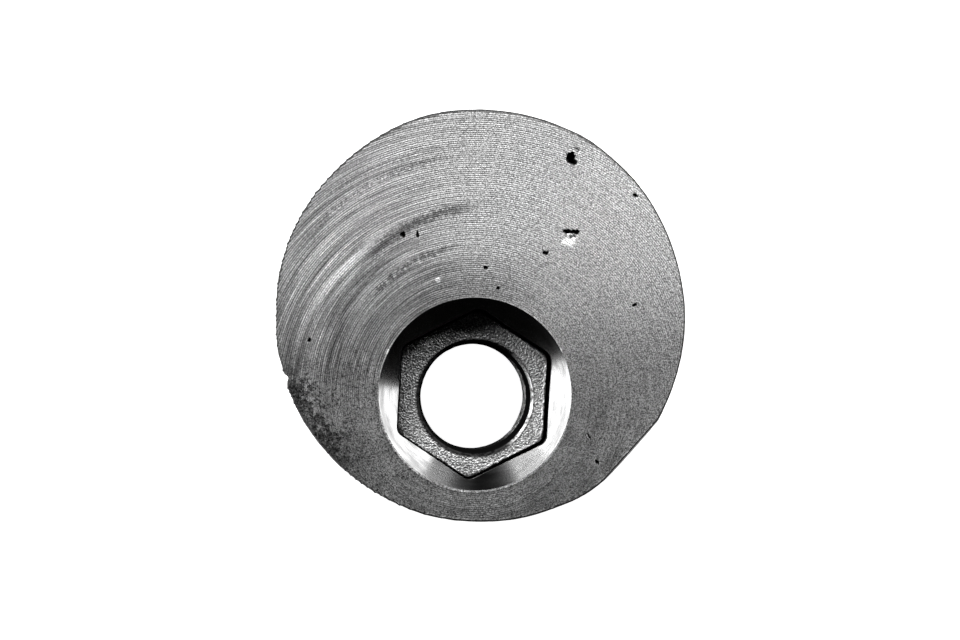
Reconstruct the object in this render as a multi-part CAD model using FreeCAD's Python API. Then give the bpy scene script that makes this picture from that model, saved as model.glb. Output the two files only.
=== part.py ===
"""Eccentric disc nut: a cast disc with an off-centre hexagonal pocket, and the loose hex nut that sits in it.

Frame: millimetres. The origin is on the axis of the disc's bolt hole, at the back face that seats on the work.
+Z runs along the hole to the faced front, and +Y runs from the hole to the centre of the disc.
"""

import FreeCAD, Part

import math
import os

# Disc: a casting whose sides draw in towards the back, faced flat at the front.
DISC_FRONT_DIAMETER = 50.5
DISC_THICKNESS = 14.0
ECCENTRICITY = 9.6
SIDE_DRAFT_DEG = 1.0
BACK_EDGE_RADIUS = 1.0

# Flat where the casting's gate was ground off, on the disc's side.
GATE_FLAT_DEPTH = 0.45
GATE_FLAT_AZIMUTH_DEG = -38.0

# Mouth: the turned cone that leads from the front face into the pocket.
MOUTH_DIAMETER = 23.6
MOUTH_HALF_ANGLE_DEG = 50.0

# Pocket: the hexagonal seat that keeps the nut from turning.
POCKET_ACROSS_FLATS = 18.5
POCKET_CORNER_RADIUS = 1.4
SHOULDER_THICKNESS = 3.0
BOLT_HOLE_DIAMETER = 15.5

# Nut: M14 x 1, thin pattern. Its bore is modelled plain, at the thread's minor diameter.
NUT_ACROSS_FLATS = 18.0
NUT_HEIGHT = 8.0
NUT_CORNER_RADIUS = 1.2
NUT_CHAMFER_CIRCLE_DIAMETER = 19.6
NUT_CHAMFER_DEG = 30.0
THREAD_MINOR_DIAMETER = 12.92
THREAD_MOUTH_DIAMETER = 14.5

# The nut lies over to one side of the pocket, turned a little in it. Its thread was tapped off its middle.
NUT_SHIFT_X = -0.15
NUT_SHIFT_Y = -0.05
NUT_TURN_DEG = 0.8
THREAD_OFFSET = 0.35

PARTS_FOLDER = "parts"
UP = FreeCAD.Vector(0, 0, 1)
ORIGIN = FreeCAD.Vector(0, 0, 0)
OVERCUT = 2.0


def hexagon_prism(across_flats, corner_radius, bottom, height):
    """An upright hexagonal prism on the Z axis, with two of its corners on the Y axis and its upright edges rounded."""
    corner_distance = across_flats / math.sqrt(3)
    corners = [
        FreeCAD.Vector(
            corner_distance * math.sin(math.radians(60 * i)),
            corner_distance * math.cos(math.radians(60 * i)),
            bottom,
        )
        for i in range(6)
    ]
    outline = Part.makePolygon(corners + corners[:1])
    prism = Part.Face(outline).extrude(UP * height)
    upright = [e for e in prism.Edges if abs(e.BoundBox.ZLength - height) < 1e-6]
    return prism.makeFillet(corner_radius, upright)


def gate_cutter():
    """A block whose inner side is the ground flat, parallel to the disc's axis."""
    flat_distance = DISC_FRONT_DIAMETER / 2 - GATE_FLAT_DEPTH
    width = DISC_FRONT_DIAMETER
    block = Part.makeBox(
        width,
        width,
        DISC_THICKNESS + 2 * OVERCUT,
        FreeCAD.Vector(flat_distance, -width / 2, -OVERCUT),
    )
    block.rotate(ORIGIN, UP, GATE_FLAT_AZIMUTH_DEG)
    block.translate(FreeCAD.Vector(0, ECCENTRICITY, 0))
    return block


def disc_blank():
    """The casting's outside: drafted sides, narrower at the back, with a rounded back edge."""
    front_radius = DISC_FRONT_DIAMETER / 2
    draft = DISC_THICKNESS * math.tan(math.radians(SIDE_DRAFT_DEG))
    centre = FreeCAD.Vector(0, ECCENTRICITY, 0)
    blank = Part.makeCone(front_radius - draft, front_radius, DISC_THICKNESS, centre)
    back_rim = [e for e in blank.Edges if e.BoundBox.ZMax < 1e-6]
    return blank.makeFillet(BACK_EDGE_RADIUS, back_rim).cut(gate_cutter())


def mouth_cutter():
    """The turning tool's cone, from above the front face down to inside the pocket."""
    slope = math.tan(math.radians(MOUTH_HALF_ANGLE_DEG))
    mouth_radius = MOUTH_DIAMETER / 2
    inner_radius = THREAD_MINOR_DIAMETER / 2
    depth = (mouth_radius - inner_radius) / slope
    top_radius = mouth_radius + OVERCUT * slope
    bottom = FreeCAD.Vector(0, 0, DISC_THICKNESS - depth)
    return Part.makeCone(inner_radius, top_radius, depth + OVERCUT, bottom)


def limited_mouth_cutter():
    """The cone, stopped just inside the pocket's flats so that it cuts nothing but the mouth."""
    slope = math.tan(math.radians(MOUTH_HALF_ANGLE_DEG))
    stop_depth = (MOUTH_DIAMETER - POCKET_ACROSS_FLATS) / 2 / slope + 0.2
    keep = Part.makeCylinder(
        MOUTH_DIAMETER,
        stop_depth + OVERCUT,
        FreeCAD.Vector(0, 0, DISC_THICKNESS - stop_depth),
    )
    return mouth_cutter().common(keep)


def eccentric_disc():
    """The disc with its bolt hole, nut pocket and conical mouth."""
    pocket = hexagon_prism(
        POCKET_ACROSS_FLATS,
        POCKET_CORNER_RADIUS,
        SHOULDER_THICKNESS,
        DISC_THICKNESS - SHOULDER_THICKNESS + OVERCUT,
    )
    bolt_hole = Part.makeCylinder(
        BOLT_HOLE_DIAMETER / 2,
        DISC_THICKNESS + 2 * OVERCUT,
        FreeCAD.Vector(0, 0, -OVERCUT),
    )
    return disc_blank().cut(pocket).cut(bolt_hole).cut(limited_mouth_cutter())


def nut_envelope(bottom):
    """The turned shape that takes the tips off the nut's corners, above and below."""
    top = bottom + NUT_HEIGHT
    circle_radius = NUT_CHAMFER_CIRCLE_DIAMETER / 2
    outer_radius = NUT_ACROSS_FLATS / math.sqrt(3) + 0.5
    drop = (outer_radius - circle_radius) * math.tan(math.radians(NUT_CHAMFER_DEG))
    profile = Part.makePolygon(
        [
            FreeCAD.Vector(0, 0, bottom),
            FreeCAD.Vector(circle_radius, 0, bottom),
            FreeCAD.Vector(outer_radius, 0, bottom + drop),
            FreeCAD.Vector(outer_radius, 0, top - drop),
            FreeCAD.Vector(circle_radius, 0, top),
            FreeCAD.Vector(0, 0, top),
            FreeCAD.Vector(0, 0, bottom),
        ]
    )
    return Part.Face(profile).revolve(ORIGIN, UP, 360)


def thread_cutter(bottom):
    """The nut's bore, with a 90 degree countersink at each face."""
    minor_radius = THREAD_MINOR_DIAMETER / 2
    mouth_radius = THREAD_MOUTH_DIAMETER / 2
    depth = mouth_radius - minor_radius
    top = bottom + NUT_HEIGHT
    profile = Part.makePolygon(
        [
            FreeCAD.Vector(0, 0, bottom - OVERCUT),
            FreeCAD.Vector(mouth_radius + OVERCUT, 0, bottom - OVERCUT),
            FreeCAD.Vector(minor_radius, 0, bottom + depth),
            FreeCAD.Vector(minor_radius, 0, top - depth),
            FreeCAD.Vector(mouth_radius + OVERCUT, 0, top + OVERCUT),
            FreeCAD.Vector(0, 0, top + OVERCUT),
            FreeCAD.Vector(0, 0, bottom - OVERCUT),
        ]
    )
    cutter = Part.Face(profile).revolve(ORIGIN, UP, 360)
    cutter.translate(FreeCAD.Vector(0, -THREAD_OFFSET, 0))
    return cutter


def hex_nut():
    """The nut, resting on the pocket's shoulder and pushed over towards the pocket's -X flat."""
    bottom = SHOULDER_THICKNESS
    prism = hexagon_prism(NUT_ACROSS_FLATS, NUT_CORNER_RADIUS, bottom, NUT_HEIGHT)
    blank = prism.common(nut_envelope(bottom))
    blank.rotate(ORIGIN, UP, NUT_TURN_DEG)
    blank.translate(FreeCAD.Vector(NUT_SHIFT_X, NUT_SHIFT_Y, 0))
    return blank.cut(thread_cutter(bottom))


def main():
    os.makedirs(PARTS_FOLDER, exist_ok=True)
    for name, shape in {
        "eccentric_disc": eccentric_disc(),
        "hex_nut": hex_nut(),
    }.items():
        solids = shape.Solids
        assert len(solids) == 1 and solids[0].isValid(), name
        solids[0].exportStep(os.path.join(PARTS_FOLDER, name + ".step"))
        print(name, "volume", round(solids[0].Volume, 1), "box", solids[0].BoundBox)


main()
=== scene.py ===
"""Eccentric disc nut: the finished disc and nut, their materials, the floor, the light and the camera.

Lengths in this file are millimetres until a mesh is made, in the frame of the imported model. The origin is
on the bolt hole's axis at the back face, +Z comes out of the turned front, and +Y runs to the disc's centre.
Directions are compass angles in degrees, anticlockwise from +X as seen from the front.
"""

import math

import bpy
import numpy as np
from mathutils import Matrix, Vector


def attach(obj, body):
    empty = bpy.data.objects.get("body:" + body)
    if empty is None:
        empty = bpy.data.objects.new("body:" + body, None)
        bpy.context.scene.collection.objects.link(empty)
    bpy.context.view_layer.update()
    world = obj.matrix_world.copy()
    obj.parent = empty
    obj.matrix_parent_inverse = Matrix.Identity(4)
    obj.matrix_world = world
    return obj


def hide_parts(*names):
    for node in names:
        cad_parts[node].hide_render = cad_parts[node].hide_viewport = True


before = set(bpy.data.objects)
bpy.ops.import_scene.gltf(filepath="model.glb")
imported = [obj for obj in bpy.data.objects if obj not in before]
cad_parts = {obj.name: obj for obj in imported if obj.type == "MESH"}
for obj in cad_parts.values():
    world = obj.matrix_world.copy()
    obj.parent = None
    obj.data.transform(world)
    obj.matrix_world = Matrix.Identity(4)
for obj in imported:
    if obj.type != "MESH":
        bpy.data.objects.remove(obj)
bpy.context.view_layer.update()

MM = 0.001

# Disc. The draft is how much the side draws in for each millimetre down from the front.
COLUMNS = 560
FRONT_Z = 14.0
DISC_RADIUS = 25.25
DISC_CENTRE = np.array([0.0, 9.6])
SIDE_DRAFT = 0.0175
BACK_EDGE_RADIUS = 1.0
GATE_FLAT_DIRECTION = -38.0
GATE_FLAT_DEPTH = 0.45

# Humps and hollows of the outline: height, direction and width in degrees. The deepest is a chipped notch.
OUTLINE_WAVES = (
    (0.16, -57.0, 7.0),
    (0.14, 112.0, 12.0),
    (0.1, 62.0, 5.0),
    (-0.15, 22.0, 16.0),
    (-0.14, -176.0, 6.0),
    (-0.5, -158.3, 1.2),
    (-0.16, -162.0, 2.5),
)

# Turned mouth, and the hexagonal pocket under it
MOUTH_RADIUS = 11.8
MOUTH_SLOPE = 1.0 / math.tan(math.radians(50.0))
LIP_WIDTH = 0.08
LIP_DROP = 0.012
POCKET_FLAT = 9.25
POCKET_CORNER = 1.4
SHOULDER_Z = 3.0
SHOULDER_CHAMFER = 0.15
BOLT_HOLE_RADIUS = 7.75
HOLE_CHAMFER = 0.3

# Turning marks on the face
FEED = 0.25
FEED_RISE = 0.02
MARK_DEPTH = 0.046
FIRST_MARK = MOUTH_RADIUS + LIP_WIDTH + 0.12
FACE_EDGE_BREAK = 0.2
LEAST_BAND = 0.04

# Blowholes in the face: x, y, length, width, direction and depth
BLOWHOLES = (
    (9.95, 29.55, 1.6, 1.1, -48.0, 0.9),
    (10.5, 30.7, 0.6, 0.35, -50.0, 0.09),
    (10.3, 20.6, 2.4, 0.42, -3.0, 0.4),
    (10.5, 20.0, 0.5, 0.35, 30.0, 0.4),
    (7.39, 17.86, 0.8, 0.5, -20.0, 0.28),
    (-10.08, 18.92, 0.5, 0.5, 0.0, 0.45),
    (-8.3, 19.0, 0.3, 0.7, 15.0, 0.2),
    (1.94, 13.09, 0.45, 0.35, 0.0, 0.3),
    (0.31, 15.56, 0.4, 0.3, 0.0, 0.25),
    (18.8, 12.12, 0.5, 0.35, 40.0, 0.3),
    (18.03, 25.55, 0.5, 0.3, 0.0, 0.3),
    (14.37, -4.35, 0.8, 0.3, -55.0, 0.2),
    (15.54, -7.33, 0.45, 0.3, 0.0, 0.25),
    (-20.7, 5.2, 0.45, 0.3, 60.0, 0.25),
)
FIRST_BLOWHOLE_SEED = 31

# Where the tool tore the iron beside a blowhole, and the spot's half width and half height
TORN_SPOT = (10.2, 19.6)
TORN_REACH = (0.95, 0.75)
TORN_DEPTH = 0.2

# Small pale dots on the face
PALE_DOTS = ((-5.45, 13.65), (-10.97, 4.45), (9.95, 5.99))

# Bands of the face rubbed darker (strength below 0), and bands of painted sheen that are lighter (strength
# above 0), each along part of a turn about the bore: radius, drift of the radius per radian, middle and half
# span in degrees, half width, strength
RUB_AND_SHEEN_MARKS = (
    (22.1, -2.6, 114.0, 27.0, 1.0, -0.7),
    (19.2, -2.0, 144.0, 27.0, 0.8, -0.28),
    (17.75, -1.2, 122.0, 26.0, 0.45, -0.65),
    (20.0, -0.6, 126.0, 20.0, 1.5, -0.25),
    (24.7, -1.0, 138.0, 36.0, 0.7, -0.2),
    (26.5, -1.0, 152.0, 20.0, 0.6, -0.35),
    (23.6, 0.0, 170.0, 20.0, 1.4, -0.15),
    (28.6, -1.2, 120.0, 30.0, 0.3, -0.5),
    (30.4, 0.0, 116.0, 26.0, 0.45, -0.3),
    (32.5, 0.0, 112.0, 24.0, 0.9, -0.15),
    (22.3, 0.0, 146.0, 30.0, 1.4, 0.6),
    (20.5, 0.0, 178.0, 26.0, 1.6, 0.45),
    (25.6, -1.0, 150.0, 18.0, 0.5, 0.35),
)

# Directions from the bore of the painted shade on the face round the mouth and of the painted dark
# reflection in the mouth, and of the stain from the disc's centre
PAINTED_SHADE_DIRECTION = 112.0
PAINTED_REFLECTION_DIRECTION = -73.0
STAIN_DIRECTION = -143.0

# Nut
NUT_COLUMNS = 420
NUT_BOTTOM = 3.0
NUT_TOP = 11.0
NUT_FLAT = 9.0
NUT_CORNER = 1.2
NUT_CENTRE = np.array([-0.15, -0.05])
NUT_TURN = math.radians(0.8)
NUT_CHAMFER_CIRCLE = 9.8
NUT_CHAMFER_SLOPE = math.tan(math.radians(30.0))
NUT_EDGE_BREAK = 0.12
SEAT_CLEARANCE = 0.004
THREAD_CENTRE = np.array([0.0, -0.35])
THREAD_MINOR = 6.46
THREAD_MAJOR = 7.0
THREAD_MOUTH = 7.2
COUNTERSINK_CENTRE = THREAD_CENTRE + np.array([0.18, -0.13])
THREAD_PITCH = 1.0
CREST_SHARE = 0.2
FLANK_SHARE = 0.68

# The radius at which the sand and wear of the hexagonal walls are taken from the noise
WALL_NOISE_RADIUS = 9.0

# Material slots of the two pieces
TURNED, BORED, CAST = range(3)
NUT_FACE, THREAD = range(2)


# ---------------------------------------------------------------- geometry


def smoothstep(low, high, value):
    """0 below low, 1 above high, and a smooth rise between them."""
    t = np.clip((value - low) / (high - low), 0.0, 1.0)
    return t * t * (3.0 - 2.0 * t)


def value_noise(points, cell, seed):
    """Smooth noise from -1 to 1 at points (n, 3), whose features are about cell across."""
    size = 32
    lattice = np.random.default_rng(seed).uniform(-1.0, 1.0, (size, size, size))
    scaled = points / cell
    low = np.floor(scaled).astype(int)
    part = scaled - low
    part = part * part * (3.0 - 2.0 * part)
    total = np.zeros(len(points))
    for corner in np.ndindex(2, 2, 2):
        index = (low + corner) % size
        weight = np.prod(np.where(corner, part, 1.0 - part), axis=1)
        total += weight * lattice[index[:, 0], index[:, 1], index[:, 2]]
    return total


def rough_noise(points, cell, seed, octaves=3):
    """Noise with finer and finer detail laid on it."""
    total = np.zeros(len(points))
    for octave in range(octaves):
        total += value_noise(points, cell / 2**octave, seed + octave) / 2**octave
    return total


def unit(angle):
    """Unit vectors (n, 2) at angles in radians."""
    return np.stack([np.cos(angle), np.sin(angle)], axis=1)


def at_height(points, height):
    """Points (n, 2) lifted to a height, or each to its own height."""
    return np.column_stack([points, np.broadcast_to(height, len(points))])


def degrees_from(angle, direction):
    """How far angles in radians are from a direction, from -180 to 180 degrees."""
    return (np.degrees(angle) - direction + 180.0) % 360.0 - 180.0


def bump_at(angle, direction, width):
    """A smooth hump of height 1 round a direction."""
    return np.exp(-((degrees_from(angle, direction) / width) ** 2))


def hexagon_radius(angle, flat, corner):
    """Distance from the middle of a hexagon with rounded corners, two of them on the Y axis, to its edge."""
    from_flat = (angle + math.pi / 6) % (math.pi / 3) - math.pi / 6
    straight = flat / np.cos(from_flat)
    arc_centre = (flat - corner) / math.cos(math.pi / 6)
    from_corner = math.pi / 6 - np.abs(from_flat)
    across = np.clip(corner**2 - (arc_centre * np.sin(from_corner)) ** 2, 0.0, None)
    rounded = arc_centre * np.cos(from_corner) + np.sqrt(across)
    tangent = math.atan2(arc_centre * 0.5, flat)
    return np.where(np.abs(from_flat) > tangent, rounded, straight)


def edge_wear(ray, seed):
    """How far a hexagon's edge is worn back, from 0 to 0.04."""
    return 0.02 * (1.0 + value_noise(at_height(ray * WALL_NOISE_RADIUS, 0.0), 0.6, seed))


class Rings:
    """Closed rings of vertices that follow one another over a piece's whole skin and meet again."""

    def __init__(self, columns):
        self.columns = columns
        self.points = []
        self.indices = []
        self.slots = []

    def add(self, points, heights, slot):
        """slot is the material of the band of faces that starts at this ring."""
        start = self.columns * len(self.points)
        self.points.append(at_height(points, heights))
        self.indices.append(np.arange(start, start + self.columns))
        self.slots.append(slot)

    def quads(self):
        """Each band between a ring and the next, facing out."""
        bands = []
        for i, ring in enumerate(self.indices):
            following = self.indices[(i + 1) % len(self.indices)]
            bands.append(np.stack([ring, np.roll(ring, -1), np.roll(following, -1), following], axis=1))
        return np.concatenate(bands)[:, ::-1]

    def build(self, name, flat_slots, materials, sharp_angle):
        """A mesh object in metres. Quads whose corners coincide become triangles or go away."""
        polygons = []
        polygon_slots = []
        for quad, slot in zip(self.quads().tolist(), np.repeat(self.slots, self.columns).tolist()):
            corners = [v for i, v in enumerate(quad) if v != quad[i - 1]]
            if len(set(corners)) >= 3:
                polygons.append(corners)
                polygon_slots.append(slot)
        used = sorted({v for polygon in polygons for v in polygon})
        vertices = np.concatenate(self.points)
        renumber = np.full(len(vertices), -1)
        renumber[used] = np.arange(len(used))
        mesh = bpy.data.meshes.new(name)
        mesh.from_pydata(
            (vertices[used] * MM).tolist(),
            [],
            [renumber[p].tolist() for p in polygons],
        )
        mesh.polygons.foreach_set("material_index", np.array(polygon_slots))
        mesh.update()
        mesh.set_sharp_from_angle(angle=math.radians(sharp_angle))
        mesh.polygons.foreach_set("use_smooth", ~np.isin(polygon_slots, flat_slots))
        mesh.validate()
        for material in materials:
            mesh.materials.append(material)
        piece = bpy.data.objects.new(name, mesh)
        bpy.context.scene.collection.objects.link(piece)
        return piece


# ---------------------------------------------------------------- materials


class Graph:
    """A material's node graph, with short ways to add the nodes that are used here."""

    def __init__(self, name, metallic, roughness):
        self.material = bpy.data.materials.new(name)
        self.material.use_nodes = True
        self.nodes = self.material.node_tree.nodes
        self.links = self.material.node_tree.links
        self.shader = self.nodes["Principled BSDF"]
        self.shader.inputs["Metallic"].default_value = metallic
        self.shader.inputs["Roughness"].default_value = roughness
        place = self.nodes.new("ShaderNodeTexCoord").outputs["Object"]
        scaled = self.nodes.new("ShaderNodeVectorMath")
        scaled.operation = "SCALE"
        scaled.inputs["Scale"].default_value = 1.0 / MM
        self.links.new(place, scaled.inputs[0])
        self.place = scaled.outputs[0]
        self.x, self.y, self.z = self.split(self.place)

    def put(self, socket, value):
        if isinstance(value, bpy.types.NodeSocket):
            self.links.new(value, socket)
        else:
            socket.default_value = value

    def split(self, vector):
        node = self.nodes.new("ShaderNodeSeparateXYZ")
        self.put(node.inputs[0], vector)
        return node.outputs

    def join(self, x, y, z):
        node = self.nodes.new("ShaderNodeCombineXYZ")
        for socket, value in zip(node.inputs, (x, y, z)):
            self.put(socket, value)
        return node.outputs[0]

    def math(self, operation, first, second=0.0):
        node = self.nodes.new("ShaderNodeMath")
        node.operation = operation
        self.put(node.inputs[0], first)
        self.put(node.inputs[1], second)
        return node.outputs[0]

    def product(self, *values):
        total = values[0]
        for value in values[1:]:
            total = self.math("MULTIPLY", total, value)
        return total

    def one_plus(self, *values):
        """1 and the product of the values."""
        return self.math("ADD", 1.0, self.product(*values))

    def noise(self, vector, scale, detail=2.0, roughness=0.5):
        node = self.nodes.new("ShaderNodeTexNoise")
        self.put(node.inputs["Vector"], vector)
        node.inputs["Scale"].default_value = scale
        node.inputs["Detail"].default_value = detail
        node.inputs["Roughness"].default_value = roughness
        return node.outputs[0]

    def between(self, value, low, high, to_low=0.0, to_high=1.0):
        """value from low to high becomes to_low to to_high, smoothly and no further."""
        node = self.nodes.new("ShaderNodeMapRange")
        node.interpolation_type = "SMOOTHSTEP"
        for socket, item in zip(node.inputs, (value, low, high, to_low, to_high)):
            self.put(socket, item)
        return node.outputs[0]

    def polar(self, centre=(0.0, 0.0)):
        """Distance from a centre, and the direction from it as x and y."""
        dx = self.math("SUBTRACT", self.x, centre[0])
        dy = self.math("SUBTRACT", self.y, centre[1])
        square = self.math("ADD", self.product(dx, dx), self.product(dy, dy))
        distance = self.math("SQRT", square)
        return distance, self.math("DIVIDE", dx, distance), self.math("DIVIDE", dy, distance)

    def toward(self, x, y, direction):
        """How far the vector (x, y) reaches in a direction."""
        along_x = self.product(x, math.cos(math.radians(direction)))
        along_y = self.product(y, math.sin(math.radians(direction)))
        return self.math("ADD", along_x, along_y)

    def along_turning(self, around, across):
        """Coordinates that run round the bore: few features per turn, many per millimetre of radius."""
        distance, ux, uy = self.polar()
        return self.join(
            self.product(ux, around),
            self.product(uy, around),
            self.product(distance, across),
        )

    def colour(self, value):
        self.put(self.shader.inputs["Base Color"], value)

    def rough(self, value):
        self.put(self.shader.inputs["Roughness"], value)

    def bump(self, height, strength, distance):
        node = self.nodes.new("ShaderNodeBump")
        node.inputs["Strength"].default_value = strength
        node.inputs["Distance"].default_value = distance * MM
        self.put(node.inputs["Height"], height)
        self.put(self.shader.inputs["Normal"], node.outputs[0])


def turning_tone(g, distance, upper_left):
    """Fine streaks, the valleys of the turning marks and broad bands, all strongest at the upper left. The
    marks are real; their extra strength at the upper left is painted sheen, with painted shade in the valleys.
    """
    # Painted sheen: the streaks and bands are much stronger at the upper left
    streak_noise = g.noise(g.along_turning(2.6, 7.0), 1.0, 3.0, 0.75)
    streaks = g.between(streak_noise, 0.3, 0.7, -0.6, 0.56)
    streaked = g.one_plus(streaks, g.between(upper_left, 0.0, 1.0, 0.14, 1.0))
    mark_phase = g.math("FRACT", g.math("DIVIDE", g.math("SUBTRACT", distance, FIRST_MARK), FEED))
    # Painted shade in the valleys of the turning marks, deepest at the upper left
    valley_shade = g.between(mark_phase, 0.1, 0.6, g.between(upper_left, 0.0, 1.0, 0.9, 0.5), 1.1)
    bands = g.noise(g.along_turning(1.2, 0.9), 1.0, 3.0, 0.6)
    banding = g.product(
        g.between(bands, 0.34, 0.47, 0.68, 1.0),
        g.between(bands, 0.5, 0.66, 1.0, 1.25),
    )
    banded = g.one_plus(upper_left, g.math("SUBTRACT", banding, 1.0))
    return g.product(streaked, valley_shade, banded)


def rubbed_and_sheen_tone(g, distance):
    """The rub marks, darker, and the bands of painted sheen, lighter. Each is ragged across and fades out
    along the turning.
    """
    turn = g.math("SUBTRACT", math.pi / 2.0, g.math("ARCTAN2", g.x, g.y))
    ragged = g.between(g.noise(g.place, 2.6, 2.0, 0.8), 0.36, 0.64, -0.3, 0.3)
    tone = 1.0
    for radius, drift, middle, half_span, width, strength in RUB_AND_SHEEN_MARKS:
        from_middle = g.math("SUBTRACT", turn, math.radians(middle))
        centre_line = g.math("ADD", radius, g.product(from_middle, drift))
        off = g.math("ADD", g.math("ABSOLUTE", g.math("SUBTRACT", distance, centre_line)), ragged)
        across = g.between(off, 0.0, width, 1.0, 0.0)
        along = g.between(g.math("ABSOLUTE", from_middle), 0.2, math.radians(half_span), 1.0, 0.0)
        tone = g.product(tone, g.one_plus(across, along, strength))
    return tone


def sandy_tone(g, sand, blotches, left_side, upper_left):
    """Fine grain, and dark specks of open sand that are thickest low down and in a patch at the lower left."""
    evenness = g.between(upper_left, 0.0, 1.0, 1.0, 0.6)
    grain = g.between(g.noise(g.place, 5.6, 2.0, 0.8), 0.34, 0.66, -0.6, 0.6)
    height = g.math("ADD", g.y, g.product(upper_left, 12.0))
    open_sand = g.between(height, 0.0, 26.0, 0.46, 0.9)
    lower_left = g.product(
        left_side,
        g.between(g.y, 0.0, 10.0, 1.0, 0.0),
        g.between(blotches, 0.2, 0.8, 0.45, 1.0),
    )
    open_sand = g.product(open_sand, g.between(lower_left, 0.0, 1.0, 1.0, 0.35))
    specks = g.between(sand, 0.4, 0.46, open_sand, 1.0)
    return g.product(g.one_plus(grain, evenness), specks)


def painted_light_tone(g, distance, ux, uy):
    """Painted light over the face, brighter to the top and right, with painted shade round the mouth's upper
    side and a painted highlight on the lower side of its lip.
    """
    # Painted shade round the mouth's upper side, and painted light round its lower side
    painted_bright_side = g.between(uy, -0.9, 0.1, 1.34, 1.05)
    painted_light_round_mouth = g.between(g.toward(ux, uy, PAINTED_SHADE_DIRECTION), 0.45, 0.97, painted_bright_side, 0.62)
    # A painted highlight on the lower side of the mouth's lip
    painted_lip_highlight = g.between(uy, -0.5, -0.1, 2.8, 1.0)
    # Painted light: brighter towards the top and the right
    return g.product(
        g.between(g.y, 0.0, 24.0, 0.73, 1.3),
        g.between(ux, -0.2, 0.5, 0.97, 1.02),
        g.between(g.x, 6.0, 22.0, 1.0, 1.2),
        g.between(distance, 12.0, 19.0, painted_light_round_mouth, 1.0),
        g.between(distance, MOUTH_RADIUS + 0.16, MOUTH_RADIUS + 0.26, painted_lip_highlight, 1.0),
    )


def stain_and_rim_shade_tone(g, sand, blotches):
    """Faint staining low down, a dark stain at the rim's lower left, and painted shade along the rim's edge.
    """
    low = g.between(g.y, -12.0, 14.0, 1.0, 0.0)
    reach, rim_ux, rim_uy = g.polar(DISC_CENTRE)
    rim_turn = g.math("ARCTAN2", rim_uy, rim_ux)
    off_stain = g.math("ABSOLUTE", g.math("SUBTRACT", rim_turn, math.radians(STAIN_DIRECTION)))
    stain_length = g.between(off_stain, math.radians(10.0), math.radians(24.0), 1.0, 0.0)
    raggedness = g.between(g.noise(g.place, 1.1, 5.0, 0.8), 0.34, 0.66, -2.0, 2.0)
    stain_depth = g.between(g.math("ADD", reach, raggedness), 22.0, 24.2, 0.0, 0.86)
    rim_noise = g.between(g.noise(g.place, 2.0, 2.0, 0.6), 0.35, 0.65, -0.15, 0.1)
    return g.product(
        g.one_plus(low, blotches, -0.25),
        g.one_plus(stain_length, stain_depth, g.between(sand, 0.42, 0.58, 1.06, 0.78), -1.0),
        # Painted shade along the rim's edge
        g.between(g.math("ADD", reach, rim_noise), 24.95, 25.12, 1.0, 0.4),
    )


def spot_tone(g, sand):
    """The bright burr of the torn spot, the pale dots, and dirt and painted shade in the blowholes, darker the
    deeper they go.
    """
    from_torn = g.polar(TORN_SPOT)[0]
    burr = g.between(g.math("ADD", from_torn, g.product(sand, -1.2)), 0.1, 0.45, 1.5, 1.0)
    dots = [g.between(g.polar(spot)[0], 0.24, 0.42, 2.4, 1.0) for spot in PALE_DOTS]
    outside_torn = g.between(from_torn, 0.65, 0.9, 0.0, 1.0)
    below = g.product(g.math("SUBTRACT", FRONT_Z, g.z), outside_torn)
    # Dirt and painted shade in the blowholes, darker with depth
    dirt_and_shade = g.between(below, 0.035, 0.13, 1.0, 0.04)
    return g.product(burr, *dots, dirt_and_shade)


def turned_iron():
    """The faced front, whose colour carries painted light and shade besides its marks, stains and blowholes.
    """
    g = Graph("turned_iron", metallic=1.0, roughness=0.5)
    base_tone = 0.39
    distance, ux, uy = g.polar()
    left_side = g.between(ux, -0.75, 0.2, 1.0, 0.0)
    upper_left = g.product(left_side, g.between(g.y, -6.0, 6.0, 0.0, 1.0))
    sand = g.noise(g.place, 4.2, 2.0, 0.8)
    blotches = g.between(g.noise(g.place, 0.35, 4.0, 0.65), 0.42, 0.62, 0.0, 1.0)
    tone = g.product(
        base_tone,
        turning_tone(g, distance, upper_left),
        rubbed_and_sheen_tone(g, distance),
        sandy_tone(g, sand, blotches, left_side, upper_left),
        painted_light_tone(g, distance, ux, uy),
        stain_and_rim_shade_tone(g, sand, blotches),
        spot_tone(g, sand),
    )
    g.colour(tone)
    g.rough(g.between(g.noise(g.along_turning(3.0, 2.0), 1.0, 2.0), 0.3, 0.7, 0.62, 0.69))
    g.bump(g.noise(g.place, 6.0, 2.0, 0.6), 0.6, 0.03)
    return g.material


def bored_iron():
    """The turned mouth: close to polished, with fine marks round it and a wedge of painted dark reflection."""
    g = Graph("bored_iron", metallic=1.0, roughness=0.2)
    base_tone = 0.155
    marks = g.noise(g.along_turning(5.0, 14.0), 1.0, 2.0, 0.6)
    smears = g.noise(g.along_turning(2.2, 1.1), 1.0, 3.0, 0.6)
    ux, uy = g.polar()[1:]
    tone = g.product(
        base_tone,
        # A wedge of painted dark reflection at the lower right of the mouth
        g.between(g.toward(ux, uy, PAINTED_REFLECTION_DIRECTION), 0.955, 0.99, 1.0, 0.42),
        g.between(marks, 0.3, 0.7, 0.82, 1.1),
        g.between(smears, 0.34, 0.6, 0.68, 1.06),
    )
    g.colour(tone)
    g.rough(g.between(smears, 0.3, 0.7, 0.24, 0.17))
    g.bump(marks, 0.1, 0.01)
    return g.material


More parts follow.
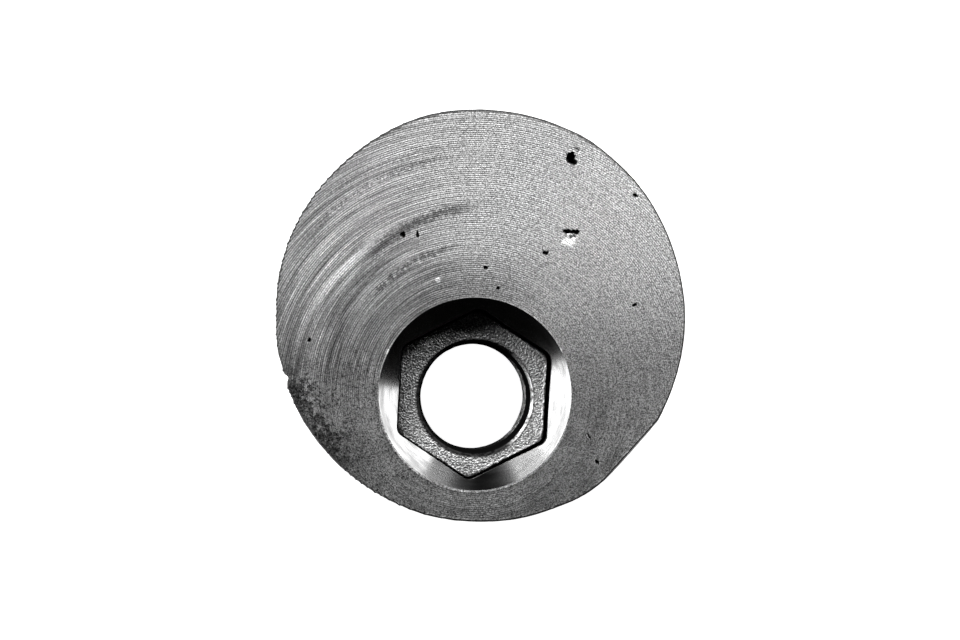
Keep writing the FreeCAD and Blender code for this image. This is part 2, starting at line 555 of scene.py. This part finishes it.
def cast_iron():
    """The side, back and pocket as the mould left them: dull, sandy and mottled, with painted shade just under
    the rim.
    """
    g = Graph("cast_iron", metallic=0.6, roughness=0.62)
    base_tone = 0.12
    sand = g.noise(g.place, 2.4, 4.0, 0.7)
    mottling = g.noise(g.place, 0.28, 4.0, 0.6)
    tone = g.product(
        base_tone,
        g.between(sand, 0.3, 0.7, 0.6, 1.35),
        g.between(mottling, 0.35, 0.65, 0.75, 1.2),
        # Painted shade just under the rim
        g.between(g.z, FRONT_Z - 0.6, FRONT_Z - 0.2, 1.0, 0.25),
    )
    g.colour(tone)
    g.rough(g.between(sand, 0.3, 0.7, 0.7, 0.5))
    g.bump(sand, 0.6, 0.12)
    return g.material


def nut_iron():
    """The nut's faces: dark and sandy, with painted shadow at the left and the top, painted shade along their
    edges and on the sides, darker round the bore, and worn edges with a painted highlight at the right and the
    bottom.
    """
    g = Graph("nut_iron", metallic=0.5, roughness=0.55)
    base_tone = 0.48
    grain = g.noise(g.place, 4.2, 1.0, 0.5)
    patches = g.noise(g.place, 0.9, 3.0, 0.6)
    dx = g.math("SUBTRACT", g.x, NUT_CENTRE[0])
    dy = g.math("SUBTRACT", g.y, NUT_CENTRE[1])
    across = g.math("ABSOLUTE", dx)
    for flat_direction in (60.0, 120.0):
        across = g.math("MAXIMUM", across, g.math("ABSOLUTE", g.toward(dx, dy, flat_direction)))
    raggedness = g.between(g.noise(g.place, 1.3, 3.0, 0.6), 0.35, 0.65, -0.12, 0.05)
    ragged = g.math("ADD", across, raggedness)
    from_mouth = g.polar(COUNTERSINK_CENTRE)[0]
    tone = g.product(
        base_tone,
        g.between(grain, 0.42, 0.58, 0.5, 1.38),
        g.between(patches, 0.35, 0.65, 0.78, 1.2),
        # Painted shade along the hexagon's edges and on its sides, next to the pocket
        g.between(ragged, NUT_FLAT - 0.2, NUT_FLAT - 0.1, 1.0, 0.3),
        # Painted shadow of the rim, darker at the left and at the top
        g.between(dx, -9.5, -4.0, 0.45, 1.0),
        g.between(dy, 0.0, 8.0, 1.0, 0.55),
        g.between(from_mouth, THREAD_MOUTH + 0.05, THREAD_MOUTH + 0.25, 0.3, 1.0),
    )
    # Worn edges with a painted highlight, strongest at the right and the bottom
    worn_edge_and_highlight = g.product(
        g.between(ragged, NUT_FLAT - 0.46, NUT_FLAT - 0.4, 0.0, 1.0),
        g.between(ragged, NUT_FLAT - 0.24, NUT_FLAT - 0.18, 1.0, 0.0),
        g.between(dx, -1.0, 6.0, 0.25, 0.85),
        g.between(dy, 3.0, 7.0, 1.0, 0.4),
    )
    g.colour(g.math("MAXIMUM", tone, worn_edge_and_highlight))
    g.rough(g.between(grain, 0.3, 0.7, 0.66, 0.42))
    g.bump(grain, 1.0, 0.3)
    return g.material


def thread_iron():
    """The cut thread: painted near black as shade, with bright wear on its crests and round its mouth that is
    a painted highlight, strongest at the right.
    """
    g = Graph("thread_iron", metallic=0.0, roughness=0.8)
    # Painted shade: the thread is coloured near black
    painted_shade_tone = 0.003
    highlight_tone = 0.7
    distance, ux = g.polar(THREAD_CENTRE)[:2]
    crest = g.between(distance, THREAD_MINOR - 0.03, THREAD_MINOR + 0.07, 1.0, 0.0)
    from_mouth = g.polar(COUNTERSINK_CENTRE)[0]
    mouth_edge = g.between(from_mouth, THREAD_MOUTH - 0.36, THREAD_MOUTH - 0.28, 0.0, 1.0)
    # A painted highlight, strongest at the right
    highlight_side = g.between(ux, 0.55, 0.9, 0.12, 1.0)
    scuffs = g.between(g.noise(g.place, 1.8, 3.0, 0.6), 0.35, 0.6, 0.3, 1.0)
    # The bright mask: wear on the crests and round the mouth, made a painted highlight at the right
    worn = g.product(g.math("MAXIMUM", crest, mouth_edge), highlight_side, scuffs)
    g.colour(g.between(worn, 0.0, 1.0, painted_shade_tone, highlight_tone))
    g.put(g.shader.inputs["Metallic"], worn)
    g.rough(g.between(worn, 0.0, 0.6, 0.85, 0.35))
    g.shader.inputs["Specular IOR Level"].default_value = 0.0
    return g.material


# ---------------------------------------------------------------- disc


azimuth = 2.0 * math.pi * np.arange(COLUMNS) / COLUMNS
outward = unit(azimuth)


def outline_radius():
    """The casting's outline: a circle with a ground flat, a chipped notch, and slow waves from the mould."""
    radius = np.full(COLUMNS, DISC_RADIUS)
    radius += 0.05 * value_noise(at_height(outward * DISC_RADIUS, 0.0), 6.0, 11)
    for height, direction, width in OUTLINE_WAVES:
        radius += height * bump_at(azimuth, direction, width)
    from_gate = np.radians(np.clip(degrees_from(azimuth, GATE_FLAT_DIRECTION), -40.0, 40.0))
    return np.minimum(radius, (DISC_RADIUS - GATE_FLAT_DEPTH) / np.cos(from_gate))


def blowhole(points, x, y, length, width, direction, depth, seed):
    """How deep an open pore cuts into the face at points (n, 2). Its edge is ragged."""
    angle = math.radians(direction)
    dx = points[:, 0] - x
    dy = points[:, 1] - y
    along = (dx * math.cos(angle) + dy * math.sin(angle)) / (length / 2.0)
    across = (dy * math.cos(angle) - dx * math.sin(angle)) / (width / 2.0)
    ragged = 0.35 * rough_noise(at_height(points, 0.0), 0.5, seed, 2)
    return depth * (1.0 - smoothstep(0.72, 1.0, np.hypot(along, across) + ragged))


def torn_depth(points):
    """The torn spot: ragged, and deepest on the side of its blowhole."""
    dx = (points[:, 0] - TORN_SPOT[0]) / TORN_REACH[0]
    dy = (points[:, 1] - TORN_SPOT[1]) / TORN_REACH[1]
    slope = np.clip((points[:, 1] - TORN_SPOT[1] + TORN_REACH[1]) / (2.0 * TORN_REACH[1]), 0.0, 1.0)
    ragged = 0.35 * rough_noise(at_height(points, 0.0), 0.4, 45, 2)
    return TORN_DEPTH * slope * (1.0 - smoothstep(0.6, 1.0, np.hypot(dx, dy) + ragged))


def face_depth(points):
    """How far the front face lies below its highest level, apart from the turning marks."""
    depth = 0.012 * (1.0 + value_noise(at_height(points, 0.0), 7.0, 21))
    depth += torn_depth(points)
    for seed, hole in enumerate(BLOWHOLES, FIRST_BLOWHOLE_SEED):
        depth += blowhole(points, *hole, seed)
    return depth


def add_face(rings, ray, reach, teeth):
    """The front face. Each turning mark is a steep rise and a long fall, as a round-nosed tool leaves it."""
    rng = np.random.default_rng(5)
    inner_reach = reach - FACE_EDGE_BREAK - teeth
    mark_count = int((reach.max() - FIRST_MARK) / FEED) + 1
    radii = []
    for mark in range(mark_count):
        start = FIRST_MARK + mark * FEED
        mark_depth = MARK_DEPTH * rng.uniform(0.7, 1.3)
        for radius, drop in ((start, mark_depth), (start + FEED_RISE, 0.0)):
            inside = radius < inner_reach - LEAST_BAND
            points = ray * np.where(inside, radius, inner_reach)[:, None]
            rings.add(points, FRONT_Z - (face_depth(points) + drop), TURNED)
            radii.append(radius)
    rings.slots[-1] = CAST
    # The part of a ring that would lie past the rim is folded onto the last ring, which is the rim itself.
    last = rings.indices[-1]
    for ring, radius in zip(rings.indices, radii):
        outside = radius >= inner_reach - LEAST_BAND
        ring[outside] = last[outside]


def add_side(rings, rim, teeth, leftward):
    """The side. At the left it is cut back below the edge, so that the teeth of the edge stand over it."""
    edge = DISC_CENTRE + outward * rim[:, None]
    rings.add(edge - outward * (teeth + 0.01)[:, None], FRONT_Z - 0.1, CAST)
    bulge = 0.24 * bump_at(azimuth, GATE_FLAT_DIRECTION, 16.0) + 0.2 * bump_at(azimuth, -136.0, 24.0)
    for drop in np.concatenate([[0.35, 0.7], np.linspace(1.3, FRONT_Z - BACK_EDGE_RADIUS, 15)]):
        swell = bulge * smoothstep(0.1, 1.2, drop) * (1.0 - smoothstep(2.0, 9.0, drop))
        on_side = at_height(outward * rim[:, None], drop)
        sand = 0.06 * rough_noise(on_side, 1.6, 51) * smoothstep(0.0, 0.7, drop)
        cut_back = 0.3 * leftward * smoothstep(0.1, 0.6, drop) * (1.0 - bulge)
        grown = swell + sand - SIDE_DRAFT * drop - cut_back
        rings.add(DISC_CENTRE + outward * (rim + grown)[:, None], FRONT_Z - drop, CAST)


def add_back(rings, ray, rim):
    """The rounded back edge, the back, and the bolt hole up to the shoulder."""
    edge_middle = rim - SIDE_DRAFT * FRONT_Z - BACK_EDGE_RADIUS
    for turn in (30.0, 60.0, 90.0):
        out = BACK_EDGE_RADIUS * math.cos(math.radians(turn))
        down = BACK_EDGE_RADIUS * (1.0 - math.sin(math.radians(turn)))
        rings.add(DISC_CENTRE + outward * (edge_middle + out)[:, None], down, CAST)
    back_rim = DISC_CENTRE + outward * edge_middle[:, None]
    hole_rim = ray * (BOLT_HOLE_RADIUS + HOLE_CHAMFER)
    for share in np.linspace(0.0, 1.0, 9)[1:]:
        points = back_rim * (1.0 - share) + hole_rim * share
        lift = 0.02 * (1.0 + value_noise(at_height(points, 0.0), 3.0, 61))
        rings.add(points, lift * (share < 1.0), CAST)
    rings.add(ray * BOLT_HOLE_RADIUS, HOLE_CHAMFER, CAST)
    rings.add(ray * BOLT_HOLE_RADIUS, SHOULDER_Z - SHOULDER_CHAMFER, CAST)
    rings.add(ray * (BOLT_HOLE_RADIUS + SHOULDER_CHAMFER), SHOULDER_Z, CAST)


def add_recess(rings, ray, angle):
    """The pocket's wall, up to where the mouth cuts it off, and then the mouth's cone and its lip."""
    pocket = hexagon_radius(angle, POCKET_FLAT, POCKET_CORNER) + edge_wear(ray, 72)
    bottom = SHOULDER_Z + SHOULDER_CHAMFER
    top = FRONT_Z - (MOUTH_RADIUS - pocket) * MOUTH_SLOPE
    rings.add(ray * (pocket - 0.2)[:, None], SHOULDER_Z, CAST)
    for share in np.linspace(0.0, 1.0, 8):
        height = bottom + (top - SHOULDER_Z - SHOULDER_CHAMFER) * share
        sand = 0.03 * (rough_noise(at_height(ray * WALL_NOISE_RADIUS, height), 0.9, 71, 2) + 1.5)
        wall = pocket + sand * (share < 1.0)
        rings.add(ray * wall[:, None], height, BORED if share == 1.0 else CAST)
    for share in np.linspace(0.0, 1.0, 7)[1:]:
        radius = pocket + (MOUTH_RADIUS - pocket) * share
        slot = BORED if share < 1.0 else TURNED
        rings.add(ray * radius[:, None], FRONT_Z - (MOUTH_RADIUS - radius) * MOUTH_SLOPE, slot)
    rings.add(ray * (MOUTH_RADIUS + LIP_WIDTH), FRONT_Z - LIP_DROP, TURNED)


def eccentric_disc(materials):
    """The whole casting, from the face round the side, the back and the hole to the pocket and the mouth."""
    rim = outline_radius()
    rim_points = DISC_CENTRE + outward * rim[:, None]
    reach = np.hypot(rim_points[:, 0], rim_points[:, 1])
    angle = np.arctan2(rim_points[:, 1], rim_points[:, 0])
    ray = unit(angle)
    # The turning marks that run out over the edge leave it finely toothed, most of all at the left.
    leftward = smoothstep(-0.1, -0.7, ray[:, 0])
    teeth = ((reach - FIRST_MARK) / FEED) % 1.0 * (0.04 + 0.26 * leftward)
    rings = Rings(COLUMNS)
    add_face(rings, ray, reach, teeth)
    add_side(rings, rim, teeth, leftward)
    add_back(rings, ray, rim)
    add_recess(rings, ray, angle)
    return rings.build("eccentric_disc_finished", [TURNED], materials, 28.0)


# ---------------------------------------------------------------- nut


def add_nut_face(rings, ray, edge, mouth_reach, up, shares):
    """The top face (up 1) or bottom face (up -1), sandy inwards only, with the corners chamfered."""
    level = NUT_TOP if up > 0 else NUT_BOTTOM
    inner = THREAD_CENTRE + ray * mouth_reach[:, None]
    outer = NUT_CENTRE + ray * (edge - NUT_EDGE_BREAK)[:, None]
    for share in shares:
        points = inner * (1.0 - share) + outer * share
        from_middle = np.hypot(*(points - NUT_CENTRE).T)
        chamfer = np.clip(from_middle - NUT_CHAMFER_CIRCLE, 0.0, None) * NUT_CHAMFER_SLOPE
        sand = 0.045 * (rough_noise(at_height(points, level), 0.36, 81 if up > 0 else 82, 2) - 0.8)
        sand = (np.minimum(sand, 0.0) - SEAT_CLEARANCE) * smoothstep(0.0, 0.08, share)
        rings.add(points, level + up * (sand - chamfer), NUT_FACE)


def add_nut_side(rings, ray, edge):
    """The hexagon's sides, sandy inwards only."""
    drop = np.clip(edge - NUT_CHAMFER_CIRCLE, 0.0, None) * NUT_CHAMFER_SLOPE + NUT_EDGE_BREAK
    for share in np.linspace(0.0, 1.0, 14):
        height = (NUT_TOP - drop) * (1.0 - share) + (NUT_BOTTOM + drop) * share
        sand = 0.02 * (rough_noise(at_height(ray * WALL_NOISE_RADIUS, height), 0.6, 91, 2) - 1.5)
        rings.add(NUT_CENTRE + ray * (edge + sand)[:, None], height, NUT_FACE)


def add_thread(rings, ray, angle, mouth_reach):
    """The thread, from the bottom countersink to the top one."""
    turns = angle / (2.0 * math.pi)
    for height in np.linspace(NUT_BOTTOM + 0.05, NUT_TOP - 0.05, 66):
        phase = (height / THREAD_PITCH - turns) % 1.0
        groove = np.clip((1.0 - np.abs(2.0 * phase - 1.0) - CREST_SHARE) / FLANK_SHARE, 0.0, 1.0)
        cut = THREAD_MINOR + (THREAD_MAJOR - THREAD_MINOR) * groove
        mouth = mouth_reach - min(height - NUT_BOTTOM, NUT_TOP - height)
        worn = 0.02 * rough_noise(at_height(ray * THREAD_MAJOR, height), 0.7, 95, 2)
        rings.add(THREAD_CENTRE + ray * (np.maximum(cut, mouth) + worn)[:, None], height, THREAD)


def hex_nut(materials):
    """The whole nut, from the top face round the sides and the bottom face to the threaded bore."""
    angle = 2.0 * math.pi * np.arange(NUT_COLUMNS) / NUT_COLUMNS
    ray = unit(angle)
    edge = hexagon_radius(angle - NUT_TURN, NUT_FLAT, NUT_CORNER) - edge_wear(ray, 83)
    mouth_reach = THREAD_MOUTH + ray @ (COUNTERSINK_CENTRE - THREAD_CENTRE)
    rings = Rings(NUT_COLUMNS)
    add_nut_face(rings, ray, edge, mouth_reach, 1.0, np.linspace(0.0, 1.0, 18))
    add_nut_side(rings, ray, edge)
    add_nut_face(rings, ray, edge, mouth_reach, -1.0, np.linspace(1.0, 0.0, 9))
    add_thread(rings, ray, angle, mouth_reach)
    return rings.build("hex_nut_finished", [], materials, 40.0)


disc = eccentric_disc([turned_iron(), bored_iron(), cast_iron()])
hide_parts("eccentric_disc")
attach(disc, "disc")

nut = hex_nut([nut_iron(), thread_iron()])
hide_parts("hex_nut")
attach(nut, "nut")


# ---------------------------------------------------------------- floor, light and camera

# The floor's size and depth under the part, and the lamps' distance and height, are in metres.
FLOOR_SIZE = 6.0
FLOOR_DEPTH = 0.0001
LAMP_DISTANCE = 0.9
LAMP_HEIGHT = 0.24

# Name, angle anticlockwise from the picture's right, angle up from the floor, width in metres, and
# power in watts
LAMPS = (
    ("key", 125.0, 26.0, 0.46, 10.5),
    ("top", 61.0, 26.0, 0.26, 6.6),
    ("left", 171.0, 8.0, 1.1, 13.0),
    ("right", 24.0, 8.0, 1.0, 6.6),
)
WORLD_LIGHT = 0.004

# The picture's upright is turned a little from the part's +Y. The camera looks at a point just below the
# disc's centre, and the lens is chosen so that the disc's radius takes up a set share of the picture's width.
PICTURE_TURN = math.radians(3.77)
PICTURE_RIGHT = Vector((math.cos(PICTURE_TURN), math.sin(PICTURE_TURN), 0.0))
PICTURE_UP = Vector((-math.sin(PICTURE_TURN), math.cos(PICTURE_TURN), 0.0))
STRAIGHT_UP = Vector((0.0, 0.0, 1.0))
LOOK_AT = Vector((0.0, DISC_CENTRE[1], FRONT_Z)) - 0.03 * PICTURE_RIGHT - 0.52 * PICTURE_UP
CAMERA_DISTANCE = 620.0
CAMERA_LEAN = math.radians(3.2)
SENSOR_WIDTH = 36.0
DISC_SHARE = 0.2151


def pale_floor():
    """A plain pale sheet, lit from below as on a light table, so that it stays white in the hole too."""
    bpy.ops.mesh.primitive_plane_add(size=FLOOR_SIZE, location=(0.0, 0.0, -FLOOR_DEPTH))
    floor = bpy.context.object
    floor.name = "floor"
    material = bpy.data.materials.new("pale_floor")
    material.use_nodes = True
    shader = material.node_tree.nodes["Principled BSDF"]
    shader.inputs["Base Color"].default_value = (0.8, 0.8, 0.8, 1.0)
    shader.inputs["Roughness"].default_value = 0.9
    shader.inputs["Emission Color"].default_value = (1.0, 1.0, 1.0, 1.0)
    shader.inputs["Emission Strength"].default_value = 1.0
    floor.data.materials.append(material)


def softbox(name, compass, elevation, width, power):
    """A flat lamp that faces the part."""
    lamp = bpy.data.lights.new(name, "AREA")
    lamp.shape = "RECTANGLE"
    lamp.size = width
    lamp.size_y = LAMP_HEIGHT
    lamp.energy = power
    turn = math.radians(compass)
    rise = math.radians(elevation)
    level = PICTURE_RIGHT * math.cos(turn) + PICTURE_UP * math.sin(turn)
    direction = level * math.cos(rise) + STRAIGHT_UP * math.sin(rise)
    holder = bpy.data.objects.new(name, lamp)
    holder.location = LOOK_AT * MM + direction * LAMP_DISTANCE
    holder.rotation_euler = direction.to_track_quat("Z", "Y").to_euler()
    holder.visible_camera = False
    bpy.context.scene.collection.objects.link(holder)


def studio_light():
    """The key lamp at the picture's top left, a weaker one at its top right, and a long low one each side."""
    for lamp in LAMPS:
        softbox(*lamp)
    world = bpy.data.worlds.new("studio")
    world.use_nodes = True
    background = world.node_tree.nodes["Background"]
    background.inputs["Color"].default_value = (1.0, 1.0, 1.0, 1.0)
    background.inputs["Strength"].default_value = WORLD_LIGHT
    bpy.context.scene.world = world


def top_camera():
    """Nearly straight down on the face, from a little to the picture's left."""
    data = bpy.data.cameras.new("camera")
    data.sensor_width = SENSOR_WIDTH
    data.lens = SENSOR_WIDTH * DISC_SHARE * CAMERA_DISTANCE / DISC_RADIUS
    data.clip_start = 0.01
    data.clip_end = 20.0
    camera = bpy.data.objects.new("camera", data)
    back = -PICTURE_RIGHT * math.sin(CAMERA_LEAN) + STRAIGHT_UP * math.cos(CAMERA_LEAN)
    side = PICTURE_RIGHT * math.cos(CAMERA_LEAN) + STRAIGHT_UP * math.sin(CAMERA_LEAN)
    turn = Matrix((side, back.cross(side), back)).transposed()
    camera.matrix_world = Matrix.Translation((LOOK_AT + back * CAMERA_DISTANCE) * MM) @ turn.to_4x4()
    bpy.context.scene.collection.objects.link(camera)
    bpy.context.scene.camera = camera


pale_floor()
studio_light()
top_camera()
bpy.context.scene.view_settings.view_transform = "Standard"
